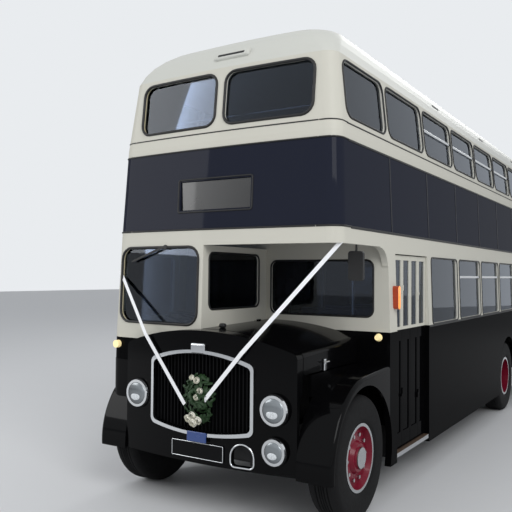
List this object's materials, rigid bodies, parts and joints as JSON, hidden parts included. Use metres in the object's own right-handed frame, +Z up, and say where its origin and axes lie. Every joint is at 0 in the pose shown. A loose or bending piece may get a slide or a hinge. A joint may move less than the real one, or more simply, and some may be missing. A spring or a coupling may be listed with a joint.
{
  "type": "half-cab double deck bus",
  "caption": "Half-cab double deck bus with a front engine, domed roof, glazed saloons on two decks and folding entrance doors behind the bonnet.",
  "frame": {"origin": "middle of the bounding box on the road under the tyres", "axes": "+Z up, front at -Y, nearside with the entrance at +X"},
  "size_m": [2.524, 9.254, 4.362],
  "materials": {
    "body_paint": "cream and near-black coach paint",
    "dark_paint": "black coach paint",
    "roof_paint": "pale roof paint",
    "inner_trim": "brown lining",
    "floor_trim": "slatted floor",
    "chassis_black": "chassis black",
    "cast": "cast",
    "bright": "polished",
    "wheel_red": "dark red wheel paint",
    "tyre": "rubber",
    "glass": "clear glass",
    "seat_cloth": "blue moquette",
    "amber": "amber lens",
    "red_lens": "red lens",
    "rubber": "black rubber",
    "ribbon": "white satin",
    "flowers": "white flowers and leaves"
  },
  "bodies": {
    "bus": {"upper_front": "body_paint", "upper_side_nearside": "body_paint", "upper_side_offside": "body_paint", "upper_rear": "body_paint", "roof": "roof_paint", "upper_floor": "inner_trim", "lower_side_nearside": "body_paint", "lower_side_offside": "body_paint", "lower_rear": "body_paint", "front_bulkhead": "body_paint", "entrance_frame": "body_paint", "cab_front": "body_paint", "cab_wall": "body_paint", "cab_floor": "floor_trim", "front_cowl": "dark_paint", "grille_frame": "bright", "grille": "dark_paint", "front_wings": "dark_paint", "chassis_frame": "chassis_black", "engine": "cast", "front_axle": "chassis_black", "rear_axle": "chassis_black", "lower_floor": "floor_trim", "staircase": "inner_trim", "lower_seats": "seat_cloth", "upper_seats": "seat_cloth", "driver_seat": "seat_cloth", "upper_glass": "glass", "lower_glass": "glass", "lamps": "bright", "flashers": "amber", "rear_lamps": "red_lens", "cab_fittings": "rubber", "handrails": "bright", "bouquet": "flowers", "ribbons": "ribbon"},
    "bonnet": {"bonnet": "dark_paint"},
    "knuckle_nearside": {"knuckle_nearside": "chassis_black"},
    "knuckle_offside": {"knuckle_offside": "chassis_black"},
    "cab_door": {"cab_door": "body_paint", "cab_door_glass": "glass"},
    "lower_exit": {"lower_exit": "body_paint", "lower_exit_glass": "glass"},
    "upper_exit": {"upper_exit": "body_paint", "upper_exit_glass": "glass"},
    "steering_wheel": {"steering_wheel": "rubber"},
    "front_wheel_nearside": {"rim_front_nearside": "wheel_red", "tyre_front_nearside": "tyre"},
    "rear_wheel_nearside": {"rims_rear_nearside": "wheel_red", "tyres_rear_nearside": "tyre"},
    "front_wheel_offside": {"rim_front_offside": "wheel_red", "tyre_front_offside": "tyre"},
    "rear_wheel_offside": {"rims_rear_offside": "wheel_red", "tyres_rear_offside": "tyre"},
    "door_leaf_1": {"door_leaf_1": "body_paint"},
    "door_leaf_2": {"door_leaf_2": "body_paint"},
    "door_leaf_3": {"door_leaf_3": "body_paint"},
    "door_leaf_4": {"door_leaf_4": "body_paint"}
  },
  "joints": [
    {"name": "steer_nearside", "type": "hinge", "parent": "bus", "child": "knuckle_nearside", "pos_m": [0.96, -3.793, 0.525], "axis": [0, 0, 1], "range_deg": [-36, 36]},
    {"name": "steer_offside", "type": "hinge", "parent": "bus", "child": "knuckle_offside", "pos_m": [-0.96, -3.793, 0.525], "axis": [0, 0, 1], "range_deg": [-36, 36]},
    {"name": "steering_wheel_turn", "type": "hinge", "parent": "bus", "child": "steering_wheel", "pos_m": [-0.6, -3.86452, 1.61127], "axis": [0, 0.342, 0.9397], "range_deg": [-648, 648]},
    {"name": "front_wheel_nearside_turn", "type": "hinge", "parent": "knuckle_nearside", "child": "front_wheel_nearside", "pos_m": [1.045, -3.793, 0.525], "axis": [1, 0, 0], "continuous": true},
    {"name": "rear_wheel_nearside_turn", "type": "hinge", "parent": "bus", "child": "rear_wheel_nearside", "pos_m": [1.045, 1.871, 0.525], "axis": [1, 0, 0], "continuous": true},
    {"name": "front_wheel_offside_turn", "type": "hinge", "parent": "knuckle_offside", "child": "front_wheel_offside", "pos_m": [-1.045, -3.793, 0.525], "axis": [1, 0, 0], "continuous": true},
    {"name": "rear_wheel_offside_turn", "type": "hinge", "parent": "bus", "child": "rear_wheel_offside", "pos_m": [-1.045, 1.871, 0.525], "axis": [1, 0, 0], "continuous": true},
    {"name": "door_front_fold", "type": "hinge", "parent": "bus", "child": "door_leaf_1", "pos_m": [1.155, -3.028, 1.3], "axis": [0, 0, 1], "range_deg": [0, 85]},
    {"name": "door_front_leaf", "type": "hinge", "parent": "door_leaf_1", "child": "door_leaf_2", "pos_m": [1.18, -2.804, 1.3], "axis": [0, 0, 1], "range_deg": [-170, 0]},
    {"name": "door_rear_fold", "type": "hinge", "parent": "bus", "child": "door_leaf_4", "pos_m": [1.155, -2.106, 1.3], "axis": [0, 0, -1], "range_deg": [0, 85]},
    {"name": "door_rear_leaf", "type": "hinge", "parent": "door_leaf_4", "child": "door_leaf_3", "pos_m": [1.18, -2.33, 1.3], "axis": [0, 0, -1], "range_deg": [-170, 0]},
    {"name": "cab_door_swing", "type": "hinge", "parent": "bus", "child": "cab_door", "pos_m": [-1.227, -4.09, 1.8], "axis": [0, 0, 1], "range_deg": [0, 80]},
    {"name": "lower_exit_swing", "type": "hinge", "parent": "bus", "child": "lower_exit", "pos_m": [-0.33, 4.605, 1.5], "axis": [0, 0, 1], "range_deg": [0, 110]},
    {"name": "upper_exit_swing", "type": "hinge", "parent": "bus", "child": "upper_exit", "pos_m": [-0.4, 4.605, 3.4], "axis": [0, 0, 1], "range_deg": [0, 110]},
    {"name": "bonnet_lift", "type": "hinge", "parent": "bus", "child": "bonnet", "pos_m": [-0.104, -3.837, 1.60917], "axis": [0, -0.9997, -0.0257], "range_deg": [0, 45], "deforming": ["ribbons"]}
  ],
  "couplings": [
    {"joint": "steer_offside", "follows": "steer_nearside", "ratio": 1},
    {"joint": "steering_wheel_turn", "follows": "steer_nearside", "ratio": 18},
    {"joint": "door_front_leaf", "follows": "door_front_fold", "ratio": -2},
    {"joint": "door_rear_leaf", "follows": "door_rear_fold", "ratio": -2}
  ]
}
